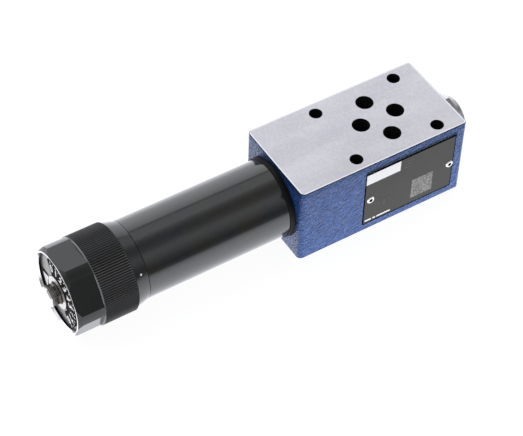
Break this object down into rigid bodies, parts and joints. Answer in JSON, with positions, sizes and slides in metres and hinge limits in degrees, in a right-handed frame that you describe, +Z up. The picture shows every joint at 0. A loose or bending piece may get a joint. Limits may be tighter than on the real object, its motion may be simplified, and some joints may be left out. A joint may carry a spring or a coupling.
{
  "type": "hydraulic sandwich valve",
  "caption": "Sandwich-plate pressure valve: ported cast block, long spring housing, knurled hexagon adjusting knob with dial, and a hexagon end plug.",
  "frame": {"origin": "centre of the bolt pattern in the bottom seat face", "axes": "+Z up out of the top port face, +X along the valve's axis from the adjusting knob to the end plug, +Y to the back (the P port's side), away from the name plate"},
  "size_m": [0.201, 0.0433, 0.04],
  "materials": {
    "blue_casting": "blue paint on the rough cast sides, ground bare top and bottom faces",
    "black_anodised": "black anodised, satin",
    "steel": "turned, bright",
    "spring_steel": "dark drawn wire",
    "seal_rubber": "matte black",
    "plate": "dark grey anodised plate with a blank white field",
    "rivet": "bright",
    "dial": "brushed, with plain numerals"
  },
  "bodies": {
    "valve_block": {"valve_body": "blue_casting", "port_seals": "seal_rubber", "name_plate": "plate", "plate_rivets": "rivet", "root_ring": "black_anodised", "spring_housing": "black_anodised", "housing_seal": "seal_rubber", "thrust_washer": "steel", "main_spring": "spring_steel", "end_plug": "steel", "end_plug_seal": "seal_rubber", "gauge_plug": "steel", "gauge_plug_seal": "seal_rubber"},
    "knob_group": {"knob": "black_anodised", "knob_set_screw": "spring_steel", "dial_disc": "dial", "hub_collar": "steel", "adjusting_spindle": "steel", "spindle_seal": "seal_rubber", "spindle_clip": "spring_steel"},
    "adjuster": {"adjusting_nut": "steel"},
    "spool": {"control_spool": "steel", "spring_plate": "steel", "pilot_orifice": "steel"}
  },
  "joints": [
    {"name": "knob_turn", "type": "hinge", "parent": "valve_block", "child": "knob_group", "pos_m": [-0.12, 0, 0.02], "axis": [1, 0, 0], "range_deg": [0, 1980]},
    {"name": "adjuster_slide", "type": "slide", "parent": "valve_block", "child": "adjuster", "axis": [1, 0, 0], "range_m": [0, 0.00825], "deforming": ["main_spring"]},
    {"name": "spool_slide", "type": "slide", "parent": "valve_block", "child": "spool", "axis": [-1, 0, 0], "range_m": [0, 0.005], "stiffness_N_per_m": 21900}
  ],
  "couplings": [
    {"joint": "adjuster_slide", "follows": "knob_turn", "m_per_rad": 0.00023873}
  ]
}
